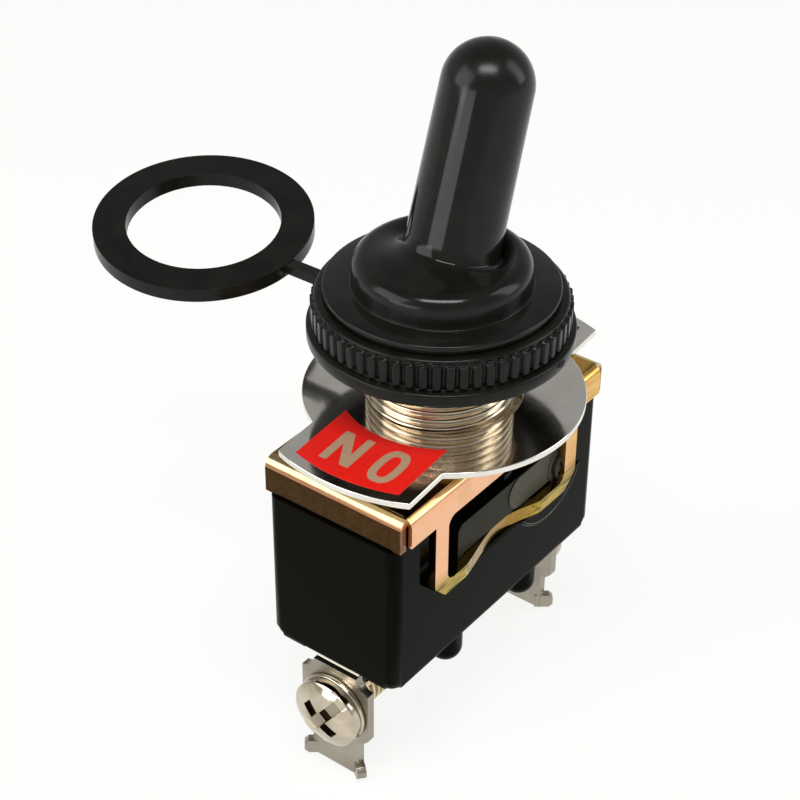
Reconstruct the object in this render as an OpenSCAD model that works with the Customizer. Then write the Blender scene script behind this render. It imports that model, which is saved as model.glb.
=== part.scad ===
// Heavy-duty panel toggle switch, on-off, one pole: a folded steel frame clamps a moulded housing under a
// threaded bushing, and a rubber boot on a knurled nut seals the lever.
// X runs along the housing, Z up the bushing, and the origin is on the bushing's axis at the label plate's
// upper face, where the panel seats. Heights below are counted from the frame's top face; on_panel()
// shifts them.

/* [Housing] */
// Length of the moulded housing
body_l = 28.4; // [24:0.1:34]
// Width of the moulded housing
body_w = 12.8; // [12:0.1:16]
// Height of the moulded housing below its rim
body_h = 16.9; // [15:0.1:20]
// Radius of the upright corners
corner_r = 1; // [0.6:0.1:1.8]
// Radius of the lower edges
edge_r = 0.9; // [0.3:0.1:1]
// Thickness of the cavity's end walls at the terminal straps
end_wall = 1.2; // [1.1:0.05:1.8]
// Thickness of the housing's floor
floor_t = 3.7; // [3:0.1:4.5]
// Width of the cavity
cavity_w = 8; // [7.6:0.1:8.4]
// Depth of the side pockets that the frame's legs lie over
pocket_d = 1.35; // [1.3:0.01:1.4]
// Depth of the recess above each terminal
recess_d = 0.8; // [0.4:0.1:1]
// Height of the recess above each terminal
recess_h = 0.6; // [0.3:0.1:2]
// Depth of the raised pad in the pocket below the housing's side
pad_sink = 0.3; // [0.2:0.05:0.5]
// Radius of the round swelling over the contact chamber
boss_r = 5.3; // [4.8:0.1:5.4]
// Length of the four locating pips under the housing
pip_l = 2.4; // [1:0.1:3]
// Diameter of the locating pips
pip_d = 2.9; // [2:0.1:3.2]
// Distance between the pips along the housing
pip_pitch = 10.7; // [8:0.1:14]

/* [Frame] */
// Thickness of the frame's sheet steel
sheet = 0.7; // [0.5:0.05:0.9]
// Outer radius of the frame's folds
fold_r = 1; // [0.95:0.05:1.2]
// Depth of the end lips
lip_h = 3.1; // [2.5:0.1:4]
// Depth of the side flanges
flange_h = 2.8; // [2.2:0.1:3.4]
// Width of each leg
leg_w = 1.65; // [1.2:0.05:2]
// Distance over the two legs of one side
leg_span = 19.9; // [18:0.1:20.5]
// Depth of the legs and the belt that joins them
leg_h = 10.4; // [9.8:0.1:10.6]
// Height of the belt
belt_h = 1.2; // [1:0.05:1.3]
// How far the belt is pressed in under the housing's pad
crimp = 1.15; // [0.8:0.05:1.2]
// Distance along the belt from the bushing's axis to its deepest point
crimp_x = 0.7; // [0:0.1:1.5]

/* [Bushing] */
// Diameter of the bushing's thread
thread_d = 12; // [12:0.1:12.4]
// Height of the bushing above the frame
bushing_h = 12.6; // [12:0.1:13]
// Diameter of the shoulder that seats on the frame
seat_d = 15; // [14:0.1:16]
// Height of the shoulder
seat_h = 1.3; // [0.8:0.1:2]
// Height of the lever's pivot above the frame
pivot_z = 10.8; // [10.2:0.1:11]
// Diameter of the lever's pivot pin
pin_d = 1.6; // [1.2:0.1:1.8]

/* [Lever] */
// Lean of the lever to either side
lean = 18.5; // [15:0.5:18.5]
// Diameter of the lever's ball
ball_d = 5.2; // [4.8:0.1:5.4]
// Length of the bat handle above the pivot
handle_l = 19.3; // [15:0.1:26]
// Diameter of the handle near its tip
handle_d = 5.2; // [4:0.1:5.4]
// Diameter of the handle's neck
neck_d = 2.9; // [2.6:0.1:3]
// Diameter of the stem below the ball
stem_d = 3; // [2.8:0.1:3.1]
// Length of the plunger that shows below the stem
plunger_out = 2.3; // [1.8:0.1:2.6]
// Diameter of the plunger
plunger_d = 1.7; // [1.4:0.1:1.8]
// Length of the plunger
plunger_l = 6; // [5:0.1:6.5]
// Wire diameter of the plunger's spring
wire_d = 0.34; // [0.2:0.02:0.4]
// Turns of the plunger's spring
spring_turns = 7; // [4:1:9]

/* [Contacts] */
// Height of the rocker's pivot above the cavity's floor
rocker_rise = 3.65; // [3.3:0.05:4]
// Depth of the rocker's trough above its pivot
dip = 2.35; // [2.1:0.05:2.6]
// Tilt of the rocker to either side
rock = 7; // [5:0.5:8]
// Width of the rocker
rocker_w = 4.2; // [3.6:0.1:4.4]
// Thickness of the rocker's strip
rocker_t = 0.7; // [0.5:0.05:0.8]
// Distance from where the plunger stops to the contact's centre
contact_gap = 1.8; // [1.6:0.05:2.2]
// Diameter of the silver contacts
contact_d = 2.4; // [2:0.1:2.6]
// Diameter of the rocker's pivot pin
rocker_pin_d = 1.2; // [1:0.1:1.4]

/* [Terminals] */
// Thickness of the terminals' sheet
term_t = 0.8; // [0.6:0.05:0.9]
// Width of a terminal's neck and strap
neck_w = 4.3; // [3.8:0.1:4.4]
// Width of a terminal's pad
pad_w = 6.9; // [6.6:0.1:8]
// Distance from the housing's underside to the screw's axis
screw_drop = 4.6; // [4.4:0.1:5.2]
// Height of the pad
pad_h = 5.6; // [5.2:0.1:6.4]
// Length of the waist and foot below the pad
foot_l = 3.8; // [3:0.1:5]
// Length of each ear at the foot
ear_l = 1.4; // [1:0.1:2]
// Height of the ears
ear_h = 1.3; // [1:0.1:1.8]
// Bend of the ears
ear_bend = 38; // [10:1:60]
// Thread diameter of the terminal screws
screw_d = 3.5; // [3:0.1:3.6]
// Length of the terminal screws under the head
screw_l = 7.6; // [6:0.1:8.5]
// Diameter of the screw heads
head_d = 6.3; // [5.6:0.1:6.8]
// Height of the screw heads
head_h = 1.75; // [1.6:0.05:2.4]
// Diameter of the split lock washers
washer_d = 6.5; // [6.2:0.1:7.4]
// Thickness of the lock washers
washer_t = 0.45; // [0.4:0.05:1]

/* [Label plate] */
// Thickness of the label plate
plate_t = 0.55; // [0.4:0.05:0.8]
// Diameter of the label plate's round middle
plate_d = 22.9; // [20:0.1:25]
// Diameter on which the label tabs end
tab_d = 31; // [28:0.1:34]
// Width of the label tabs
tab_w = 12.1; // [9:0.1:14]
// How far the loose plate has turned on the bushing
plate_turn = 3.9; // [0:0.1:6]
// How far the loose plate has slid off the bushing's axis
plate_slide = 0.35; // [0:0.05:0.5]
// Direction in which it has slid, from the X axis
plate_bearing = -41; // [-90:1:90]

/* [Boot] */
// Height of the knurled collar's lower face above the frame
collar_z = 7.4; // [7:0.1:7.8]
// Height of the knurled collar
collar_h = 3.8; // [3.6:0.1:4.2]
// Diameter of the collar's lower flange
flange_d = 21.3; // [20.6:0.1:23]
// Height of the collar's lower flange
flange_t = 1.1; // [0.8:0.1:1.4]
// Diameter over the knurl
knurl_d = 20.6; // [20:0.1:21]
// Depth of the knurl
knurl_depth = 0.4; // [0.2:0.05:0.6]
// Ridges of the knurl
knurl_n = 62; // [40:1:72]
// Width across the corners of the brass insert nut
nut_d = 16; // [15.2:0.1:17]
// Diameter of the boot's disc
disc_d = 18.7; // [17.5:0.1:19.5]
// Thickness of the boot's disc
disc_t = 0.75; // [0.5:0.05:1]
// Diameter of the boot's dome
dome_d = 14.3; // [14.1:0.1:15]
// Height of the dome above its disc
dome_h = 2.6; // [2.3:0.05:3.2]
// Diameter of the boot's sleeve at its root
sleeve_d = 7.6; // [7.3:0.1:8]
// Thickness of the rubber
rubber_t = 0.75; // [0.6:0.05:0.9]

/* [Seal ring] */
// Outer diameter of the loose seal ring
ring_d = 18.7; // [17:0.1:20]
// Hole of the seal ring
ring_hole = 13.1; // [12.4:0.1:13.8]
// Thickness of the seal ring
ring_t = 1.25; // [0.8:0.05:1.6]
// Length of the moulded strip that holds the ring
strip_l = 4.6; // [3:0.1:6]
// Width of the strip
strip_w = 1.2; // [0.8:0.1:1.6]
// Thickness of the strip
strip_t = 0.8; // [0.6:0.1:1]
// Direction of the strip round the bushing
strip_turn = 91; // [60:1:120]
// Twist of the ring about its strip
ring_twist = 6; // [0:0.5:10]
// Rise of the ring away from the collar
ring_rise = 4; // [0:0.5:8]

/* [Hidden] */
$fn = 64;
slip = 0.05;               // running clearance of turning and sliding pieces, on the radius
seat = 0.03;               // clearance of pieces that lie still against each other
shim = 0.3;                // thickness of the insulator
cut = 1;                   // how far a cutter runs past the face that it opens

// heights
rim_z = -sheet - shim - 2 * seat;
base_z = rim_z - body_h;
floor_z = base_z + floor_t;
plate_z = seat_h + seat;
panel_z = plate_z + plate_t;
screw_z = base_z - screw_drop;
pad_top = screw_z + pad_h / 2;
pad_low = screw_z - pad_h / 2;
foot_z = pad_low - foot_l;

// frame and housing across and along
frame_w = body_w + 2 * (sheet + seat);
end_proud = 0.27;          // how far the housing's ends stand out past the frame's lips
frame_l = body_l - 2 * end_proud;
lip_w = frame_w - 0.9;
flange_l = frame_l - 1.7;
lip_x = frame_l / 2 - sheet - seat;   // the housing's ends step in to here behind the lips
window_w = leg_span - 2 * leg_w;
leg_cut = 1.4;             // corner cut off each leg's foot
window_r = 0.9;            // radius of the window's upper corners
bend_left = -window_w / 2 + 2.4;   // where the belt starts to bend inward, and where it has come back
bend_right = window_w / 2 - 3.4;
belt_z = -leg_h + belt_h;          // top edge of the belt
belt_steps = 28;
pocket_w = leg_span + 2.2;
pocket_z = -leg_h - 0.25;
pocket_cut = 2.6;          // corner cut off the pocket's lower corners
pocket_y = body_w / 2 - pocket_d;

// raised work in the pocket, all of it above the belt or behind its straight ends
pad_y = body_w / 2 - pad_sink;
pad_left = -5.5;
pad_right = pocket_w / 2 + 0.1;
pad_low_edge = belt_z + 0.08;
pad_high_edge = pad_low_edge + 3.1;
pad_foot = -leg_h + 0.4;           // the pad's two ends run on down behind the belt
pad_corner = 0.5;
rib_r = 1.55;              // long rib with one round end
rib_x = 3.05;
rib_proud = 0.1;
eye_x = 8.95;              // round eye at the rib's end: disc, groove and dimple
eye_z = pad_low_edge + 1;
eye_r = 1.8;
eye_proud = 0.18;
stub_x = 1.4;              // small stub above the pad
stub_z = -4.9;
stub_w = 1.1;
stub_h = 0.6;
boss_x = 6.9;              // swelling in two shallow steps
boss_z = -7.2;
boss_top = -9.4;
boss_step = 0.09;
boss_rim = 0.2;

// bushing
thread_r = thread_d / 2;
tenon_r = thread_r + 0.05;
ball_r = ball_d / 2;
socket_r = ball_r + 0.1;
socket_z = pivot_z - ball_r - 0.2;
stem_r = stem_d / 2;
mouth_r = (pivot_z + sheet) * tan(lean) + stem_r / cos(lean) + 0.13;

// loose label plate
plate_x = plate_slide * cos(plate_bearing);
plate_y = plate_slide * sin(plate_bearing);

// plunger in the lever, along the lever from its pivot
rocker_z = -floor_z - rocker_rise;
reach = rocker_z + pivot_z - dip - slip;
plunger_r = plunger_d / 2;
bore_r = plunger_r + slip;
stem_end = reach - plunger_out;
plunger_top = reach - plunger_l;
bore_top = plunger_top - 3.9;
wire_r = wire_d / 2;
coil_r = bore_r - wire_r - 0.12;

// rocker, from its own pivot: a trough of constant radius follows the plunger's swing
swing_x = reach * sin(lean);
swing_rise = reach * (1 - cos(lean));
trough_r = (pow(swing_x, 2) + pow(swing_rise, 2)) / (2 * (swing_rise + swing_x * sin(rock)));
trough_z = dip + trough_r;
contact_x = swing_x + contact_gap;
wing_x = contact_x + contact_d / 2;
wing_root = contact_x - contact_d / 2 - 0.4;
wing_z = trough_z - sqrt(pow(trough_r + rocker_t, 2) - pow(wing_root, 2));
ear_t = 0.6;
ear_r = rocker_pin_d / 2 + 0.6;
contact_h = 0.45;
face_z = wing_z - contact_h;
cheek_t = 0.6;
cheek_w = rocker_w + 2 * (slip + cheek_t);
saddle_z = floor_z + seat + term_t;
saddle_t = 0.6;
saddle_l = 4.4;
// height of the fixed contact's face: just under the moving one in the closed position
closed_z = -rocker_z - contact_x * sin(rock) + face_z * cos(rock) - contact_d / 2 * sin(rock) - slip;
shelf_z = closed_z - contact_h;

// terminal straps
strap_x = body_l / 2 - end_wall - seat;
pad_x = body_l / 2 - 0.3;  // the pad stands further out than the strap, by a joggle below the housing
joggle_h = 1;
slot_gap = 0.05;
slot_top = -lip_h - 0.5;   // the strap's slot ends below the lip
bend_r = term_t + 0.2;

// boot
collar_top = collar_z + collar_h;
nut_z = collar_z + 0.3;
nut_h = collar_h - 0.8;
disc_z = collar_top + seat;
disc_top = disc_z + disc_t;
dome_r = dome_d / 2;
roll_r = 1.6;              // radius of the dome's rolled edge
roll_z = disc_top + dome_h - roll_r;
roof_z = max(bushing_h + 0.15, disc_top + dome_h - 1.6);
web_z = roof_z + rubber_t;
sleeve_r = sleeve_d / 2;
tip_r = handle_d / 2 + 0.28 + rubber_t;
ring_top = collar_z + flange_t - 0.3;

black = [0.05, 0.05, 0.05];
moulding = [0.09, 0.09, 0.08];
zinc_yellow = [0.83, 0.62, 0.33];
nickel = [0.72, 0.70, 0.66];
brass = [0.76, 0.62, 0.35];
silver = [0.85, 0.85, 0.83];

// carries a piece down to where the origin lies in the panel's seat
module on_panel() {
    translate([0, 0, -panel_z]) children();
}

// rectangle with round corners, centred
module rounded(l, w, r) {
    square([l - 2 * r, w], center = true);
    square([l, w - 2 * r], center = true);
    for (x = [-1, 1], y = [-1, 1])
        translate([x * (l / 2 - r), y * (w / 2 - r)]) circle(r);
}

// outline with its top edge at zero and two round upper corners
module hood(w, h, r) {
    translate([-w / 2, -h]) square([w, h - r]);
    translate([r - w / 2, -h]) square([w - 2 * r, h]);
    for (s = [-1, 1]) translate([s * (w / 2 - r), -r]) circle(r);
}

// sheet folded down along both sides
module fold(w, h) {
    difference() {
        hood(w, h, fold_r);
        translate([0, -sheet]) hood(w - 2 * sheet, h, fold_r - sheet);
    }
}

// extrudes an outline drawn in X and Z through a width in Y, centred
module across(w) {
    rotate([90, 0, 0]) linear_extrude(height = w, center = true) children();
}

// extrudes an outline drawn in Y and Z through a length in X, centred
module along(l) {
    rotate([90, 0, 90]) linear_extrude(height = l, center = true) children();
}

module bar_y(d, l) {
    rotate([90, 0, 0]) cylinder(d = d, h = l, center = true);
}

// ---- housing ----

module block() {
    intersection() {
        translate([0, 0, base_z]) linear_extrude(height = body_h) rounded(body_l, body_w, corner_r);
        translate([0, 0, rim_z]) across(body_w + cut) mirror([0, 1]) translate([0, body_h])
            hood(body_l, body_h, edge_r);
        translate([0, 0, rim_z]) along(body_l + cut) mirror([0, 1]) translate([0, body_h])
            hood(body_w, body_h, edge_r);
    }
}

module pips() {
    for (x = [-1, 1], y = [-1, 1])
        translate([x * pip_pitch / 2, y * (body_w - pip_d) / 2, 0]) {
            translate([0, 0, base_z - pip_l + pip_d / 2]) cylinder(d = pip_d, h = pip_l - pip_d / 2 + edge_r);
            translate([0, 0, base_z - pip_l + pip_d / 2]) sphere(d = pip_d);
        }
}

module cavity() {
    inner = strap_x - term_t - 0.1;
    slot_w = neck_w + 2 * slot_gap;
    translate([-inner, -cavity_w / 2, floor_z]) cube([2 * inner, cavity_w, body_h]);
    translate([-strap_x - seat, -slot_w / 2, floor_z])
        cube([2 * (strap_x + seat), slot_w, slot_top - floor_z]);
    for (s = [-1, 1])
        translate([s * (strap_x - term_t / 2), 0, base_z + floor_t / 2])
            cube([term_t + 2 * seat, slot_w, floor_t + cut], center = true);
}

// outline of the side pocket, its lower corners cut at 45 degrees like the frame's
module pocket_outline() {
    half = pocket_w / 2;
    top = rim_z - pocket_z + cut;
    translate([0, pocket_z]) polygon([[pocket_cut - half, 0], [half - pocket_cut, 0], [half, pocket_cut],
        [half, top], [-half, top], [-half, pocket_cut]]);
}

// steps in the housing's ends that the frame's lips lie over
module lip_rebate() {
    translate([lip_x, -body_w / 2 - cut, -lip_h - 0.15])
        cube([body_l, body_w + 2 * cut, lip_h]);
}

module end_recess() {
    translate([body_l / 2 - recess_d, -neck_w / 2 - 1, base_z - cut])
        cube([recess_d + cut, neck_w + 2, recess_h + cut]);
}

// extrudes an outline drawn in X and Z from the pocket's floor out to a height in Y
module raise(y) {
    translate([0, y, 0]) rotate([90, 0, 0]) linear_extrude(height = y - pocket_y + seat) children();
}

// the pad that the belt locks under
module pad_face() {
    inner = pad_left + 0.8;
    lug = eye_x - 0.9;
    polygon([[pad_left, pad_foot], [inner, pad_foot], [inner, pad_low_edge], [lug, pad_low_edge],
        [lug, pad_foot], [pad_right - pocket_cut + 0.2, pad_foot], [pad_right, pad_foot + pocket_cut],
        [pad_right, pad_high_edge], [pad_left + pad_corner, pad_high_edge],
        [pad_left, pad_high_edge - pad_corner]]);
}

module rib_face() {
    translate([rib_x, pad_low_edge + rib_r]) circle(rib_r);
    translate([rib_x, pad_low_edge]) square([eye_x - rib_x, 2 * rib_r]);
}

module eye() {
    translate([eye_x, pad_y + eye_proud, eye_z]) rotate([90, 0, 0]) difference() {
        cylinder(r = eye_r, h = eye_proud + pad_y - pocket_y);
        translate([0, 0, -cut]) difference() {
            cylinder(r = eye_r * 0.58, h = cut + eye_proud);
            cylinder(r = eye_r * 0.42, h = cut + eye_proud);
        }
        translate([0, 0, -cut]) cylinder(r = eye_r * 0.17, h = cut + 2 * eye_proud);
    }
}

module pocket_relief() {
    raise(pad_y) pad_face();
    raise(pad_y + rib_proud) rib_face();
    eye();
    raise(pad_y - 0.1) translate([stub_x, stub_z]) square([stub_w, stub_h], center = true);
}

// round swelling of the wall over the contact chamber, below and beside the pocket
module chamber_boss() {
    translate([boss_x, body_w / 2, boss_z]) intersection() {
        union() {
            bar_y(2 * boss_r, 2 * boss_step);
            bar_y(2 * (boss_r - boss_rim), 4 * boss_step);
        }
        translate([-boss_r, -cut, -boss_r - cut])
            cube([2 * boss_r, 2 * cut, boss_r + cut + boss_top - boss_z]);
    }
}

module housing() {
    color(moulding) on_panel() {
        difference() {
            union() {
                block();
                pips();
                for (s = [0, 1]) mirror([0, s]) chamber_boss();
            }
            cavity();
            for (s = [-1, 1])
                translate([0, s * (pocket_y + cut), 0]) across(2 * cut) pocket_outline();
            for (s = [0, 1]) mirror([s, 0]) {
                end_recess();
                lip_rebate();
            }
        }
        for (s = [0, 1]) mirror([0, s]) pocket_relief();
    }
}

// stamped fibre sheet between the frame and the housing's rim
module insulator() {
    color([0.55, 0.5, 0.42]) on_panel() translate([0, 0, rim_z + seat])
        linear_extrude(height = shim) difference() {
            rounded(2 * lip_x - 0.4, body_w - 0.4, corner_r);
            circle(r = mouth_r);
        }
}

// ---- frame ----

module window() {
    h = leg_h - belt_h - flange_h;
    translate([0, -flange_h - h / 2]) rounded(window_w, h, window_r);
    translate([bend_left, -leg_h - cut]) square([bend_right - bend_left, h]);
}

// what the flat flange loses beside the legs, under the side flanges
module flange_waste() {
    for (s = [0, 1]) mirror([s, 0]) {
        translate([leg_span / 2, -leg_h - cut]) square([frame_l, leg_h + cut - flange_h]);
        translate([leg_span / 2, -leg_h]) rotate(45) square(leg_cut * sqrt(2), center = true);
    }
}

// the belt's bend: zero at the legs, full at its deepest point
function bend_share(x) = x < crimp_x ? (x - bend_left) / (crimp_x - bend_left)
    : (bend_right - x) / (bend_right - crimp_x);
function bend_at(x) = crimp * pow(sin(90 * max(bend_share(x), 0)), 1.3);

module belt() {
    low = bend_left - 0.5;
    high = bend_right + 0.5;
    xs = [for (i = [0:belt_steps]) low + (high - low) * i / belt_steps];
    near = [for (x = xs) [x, bend_at(x)]];
    far = [for (i = [belt_steps:-1:0]) [xs[i], bend_at(xs[i]) + sheet]];
    translate([0, -frame_w / 2, -leg_h]) linear_extrude(height = belt_h) polygon(concat(near, far));
}

module frame() {
    color(zinc_yellow) on_panel() {
        difference() {
            union() {
                difference() {
                    along(flange_l) fold(frame_w, leg_h);
                    across(frame_w + cut) window();
                    across(frame_w + cut) flange_waste();
                }
                across(lip_w) fold(frame_l, lip_h);
            }
            cylinder(r = tenon_r + seat, h = 3 * sheet, center = true);
        }
        for (s = [0, 1]) mirror([0, s]) belt();
    }
}

// ---- bushing and lever ----

module bushing() {
    color(nickel) on_panel() difference() {
        rotate_extrude($fn = 96) polygon([
            [mouth_r, -sheet], [tenon_r, -sheet], [tenon_r, seat], [seat_d / 2, seat],
            [seat_d / 2, seat_h], [thread_r, seat_h], [thread_r, bushing_h - 0.5],
            [thread_r - 0.5, bushing_h], [socket_r, bushing_h], [socket_r, socket_z]]);
        translate([0, 0, pivot_z]) bar_y(pin_d, thread_d + cut);
    }
}

module lever_pin() {
    color(nickel) on_panel() translate([0, 0, pivot_z]) bar_y(pin_d, thread_d - 0.9);
}

// carries a piece from the lever's own axis to where the lever leans
module leaned() {
    translate([0, 0, pivot_z]) rotate([0, lean, 0]) children();
}

module lever() {
    tip = handle_d / 2;
    neck = neck_d / 2;
    color(nickel) on_panel() leaned() difference() {
        union() {
            sphere(ball_r);
            rotate_extrude() polygon([[0, 0], [neck, 0], [neck, 4.2], [tip, handle_l - tip],
                [0, handle_l - tip]]);
            translate([0, 0, handle_l - tip]) sphere(tip);
            translate([0, 0, -stem_end]) cylinder(r = stem_r, h = stem_end);
        }
        bar_y(pin_d + 2 * slip, ball_d + cut);
        translate([0, 0, -stem_end - cut]) cylinder(r = bore_r, h = stem_end + cut - bore_top);
    }
}

module plunger() {
    color([0.9, 0.88, 0.8]) on_panel() leaned() {
        translate([0, 0, -reach + plunger_r]) sphere(plunger_r);
        translate([0, 0, -reach + plunger_r]) cylinder(r = plunger_r, h = plunger_l - plunger_r);
    }
}

// helical spring: rings of points carried up a helix and closed at both ends
module plunger_spring() {
    sides = 8;
    steps = spring_turns * 16;
    low = -plunger_top + wire_r + seat;
    high = -bore_top - wire_r - seat;
    points = [for (i = [0:steps], j = [0:sides - 1])
        let (a = 360 * spring_turns * i / steps, b = 360 * j / sides, r = coil_r + wire_r * cos(b))
        [r * cos(a), r * sin(a), low + (high - low) * i / steps + wire_r * sin(b)]];
    skin = [for (i = [0:steps - 1], j = [0:sides - 1])
        let (k = (j + 1) % sides)
        [i * sides + j, i * sides + k, (i + 1) * sides + k, (i + 1) * sides + j]];
    ends = [[for (j = [sides - 1:-1:0]) j], [for (j = [0:sides - 1]) steps * sides + j]];
    color(nickel) on_panel() leaned() polyhedron(points, concat(skin, ends));
}

// ---- contact mechanism ----

// carries a piece from the rocker's own pivot to where the rocker rests
module rocked() {
    translate([0, 0, -rocker_z]) rotate([0, -rock, 0]) children();
}

module trough() {
    intersection() {
        translate([0, trough_z]) difference() {
            circle(r = trough_r + rocker_t, $fn = 128);
            circle(r = trough_r, $fn = 128);
        }
        translate([-wing_root - 0.4, dip - 2]) square([2 * wing_root + 0.8, trough_r]);
    }
}

module rocker_side() {
    trough();
    for (s = [0, 1]) mirror([s, 0])
        translate([wing_root, wing_z]) square([wing_x - wing_root, rocker_t]);
}

module rocker_ear() {
    circle(r = ear_r);
    polygon([[-ear_r, 0], [ear_r, 0], [2.4, dip], [-2.4, dip]]);
}

module rocker() {
    color(brass) on_panel() rocked() difference() {
        union() {
            across(rocker_w) rocker_side();
            for (s = [-1, 1]) translate([0, s * (rocker_w - ear_t) / 2, 0]) across(ear_t) difference() {
                rocker_ear();
                translate([0, trough_z]) circle(r = trough_r, $fn = 128);
            }
        }
        bar_y(rocker_pin_d + 2 * slip, rocker_w + cut);
        translate([contact_x, 0, wing_z - cut]) cylinder(r = contact_d / 4, h = rocker_t + 2 * cut);
    }
}

// silver rivet with its face at zero and its shank up through a sheet
module contact(t) {
    r = contact_d / 2;
    rotate_extrude() polygon([[0, 0], [r - 0.3, 0], [r, 0.15], [r, contact_h], [r / 2, contact_h],
        [r / 2, contact_h + t], [r * 0.75, contact_h + t], [r * 0.75, contact_h + t + 0.25],
        [0, contact_h + t + 0.25]]);
}

module rocker_contact() {
    color(silver) on_panel() rocked() translate([contact_x, 0, face_z]) contact(rocker_t);
}

module rocker_pin() {
    color(nickel) on_panel() translate([0, 0, -rocker_z]) bar_y(rocker_pin_d, cheek_w);
}

// U-shaped bracket on the common terminal's strap, which carries the rocker
module saddle() {
    color(brass) on_panel() difference() {
        union() {
            translate([0, 0, saddle_z + saddle_t / 2])
                cube([saddle_l, cheek_w, saddle_t], center = true);
            for (s = [-1, 1]) translate([0, s * (cheek_w - cheek_t) / 2, 0]) across(cheek_t) {
                translate([0, -rocker_z]) circle(r = ear_r);
                polygon([[-saddle_l / 2, saddle_z], [saddle_l / 2, saddle_z],
                    [ear_r, -rocker_z], [-ear_r, -rocker_z]]);
            }
        }
        translate([0, 0, -rocker_z]) bar_y(rocker_pin_d, cheek_w + cut);
        translate([0, 0, saddle_z]) cylinder(r = 0.6, h = 3 * saddle_t, center = true);
    }
}

module saddle_rivet() {
    color(brass) on_panel() translate([0, 0, saddle_z]) {
        translate([0, 0, -term_t]) cylinder(r = 0.6, h = term_t + saddle_t + 0.1);
        translate([0, 0, saddle_t]) cylinder(r1 = 1.1, r2 = 0.8, h = 0.4);
    }
}

// ---- terminals ----

// half outline of a terminal's outer face, from the neck down to the foot, in Y and Z
module pad_outline() {
    half = pad_w / 2;
    neck = neck_w / 2;
    waist = neck + 0.25;
    hollow = half - neck;
    difference() {
        union() {
            translate([-neck, pad_top]) square([neck_w, base_z - joggle_h - pad_top]);
            translate([-half, pad_low]) square([pad_w, pad_h + hollow]);
            translate([-waist, foot_z]) square([2 * waist, foot_l + 1]);
        }
        for (s = [-1, 1]) {
            translate([s * (half + 0.05), pad_top + hollow]) circle(r = hollow);
            translate([s * half, pad_low]) rotate(45) square(0.9, center = true);
        }
    }
}

// strap through the housing's floor, with the joggle that brings the pad out to the end face
module strap_outline(top) {
    translate([-strap_x, base_z]) square([term_t, top - base_z]);
    polygon([[-strap_x, base_z + 0.01], [term_t - strap_x, base_z + 0.01],
        [term_t - pad_x, base_z - joggle_h], [-pad_x, base_z - joggle_h]]);
}

// bend from the upright strap to a level run inward, its outer corner at the strap's outer face
module bend(z) {
    translate([-strap_x + bend_r, z]) intersection() {
        difference() {
            circle(r = bend_r);
            circle(r = bend_r - term_t);
        }
        translate([-bend_r, 0]) square(bend_r);
    }
}

module ears() {
    turn = neck_w / 2 + 0.1;
    for (s = [0, 1]) mirror([0, s]) translate([term_t - pad_x, turn, foot_z]) rotate([0, 0, ear_bend])
        translate([-term_t, -0.3, 0]) rotate([90, 0, 90]) linear_extrude(height = term_t)
            difference() {
                square([ear_l + 0.3, ear_h]);
                for (z = [0, ear_h]) translate([ear_l + 0.3, z]) rotate(45) square(0.5, center = true);
            }
}

module outer_terminal() {
    difference() {
        union() {
            translate([term_t / 2 - pad_x, 0, 0]) along(term_t) pad_outline();
            ears();
        }
        translate([-pad_x, 0, screw_z]) rotate([0, 90, 0])
            cylinder(r = screw_d / 2 + slip, h = 3 * term_t, center = true);
    }
}

// common terminal: its strap turns inward over the housing's floor to the saddle
module terminal_common() {
    low = floor_z + seat;
    color(nickel) on_panel() difference() {
        union() {
            outer_terminal();
            across(neck_w) {
                strap_outline(low + bend_r);
                translate([bend_r - strap_x, low]) square([strap_x - bend_r + saddle_l / 2, term_t]);
            }
            translate([-strap_x, -neck_w / 2, low]) cube([bend_r, neck_w, term_t]);
        }
        translate([0, 0, low]) cylinder(r = 0.6, h = 3 * term_t, center = true);
    }
}

// switched terminal: its strap rises up the end wall and turns inward to carry the fixed contact
module terminal_switched() {
    color(nickel) on_panel() mirror([1, 0]) difference() {
        union() {
            outer_terminal();
            across(neck_w) {
                strap_outline(shelf_z - bend_r + 0.01);
                bend(shelf_z - bend_r);
                translate([bend_r - strap_x - 0.01, shelf_z - term_t])
                    square([strap_x - bend_r - contact_x + contact_d * 0.6, term_t]);
            }
        }
        translate([-contact_x, 0, shelf_z]) cylinder(r = contact_d / 4, h = 3 * term_t, center = true);
    }
}

module fixed_contact() {
    color(silver) on_panel() translate([contact_x, 0, closed_z]) mirror([0, 0, 1]) contact(term_t);
}

// head outward at the origin, shank along +X
module screw() {
    r = head_d / 2;
    dome = (pow(r, 2) + pow(head_h * 0.55, 2)) / (2 * head_h * 0.55);
    difference() {
        union() {
            rotate([0, 90, 0]) cylinder(d = screw_d, h = screw_l - 0.6);
            translate([screw_l - 0.6, 0, 0]) rotate([0, 90, 0])
                cylinder(d1 = screw_d, d2 = screw_d - 1.2, h = 0.6);
            intersection() {
                translate([-head_h, 0, 0]) rotate([0, 90, 0]) cylinder(d = head_d, h = head_h);
                translate([dome - head_h, 0, 0]) sphere(dome, $fn = 128);
            }
        }
        for (turn = [0, 90]) rotate([turn - 52, 0, 0])
            translate([-head_h, 0, 0]) cube([turn == 0 ? 1.8 : 2.6, turn == 0 ? head_d + cut : 3.6, 1],
                center = true);
    }
}

// split ring, sprung flat under the head
module washer() {
    rotate([0, 90, 0]) linear_extrude(height = washer_t) difference() {
        circle(d = washer_d);
        circle(r = screw_d / 2 + 0.12);
        rotate(-60) translate([0, -0.25]) square([washer_d, 0.5]);
    }
}

module screw_common() {
    color(nickel) on_panel() translate([-pad_x - washer_t - 2 * seat, 0, screw_z]) screw();
}

module screw_switched() {
    color(nickel) on_panel() mirror([1, 0]) translate([-pad_x - washer_t - 2 * seat, 0, screw_z]) screw();
}

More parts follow.
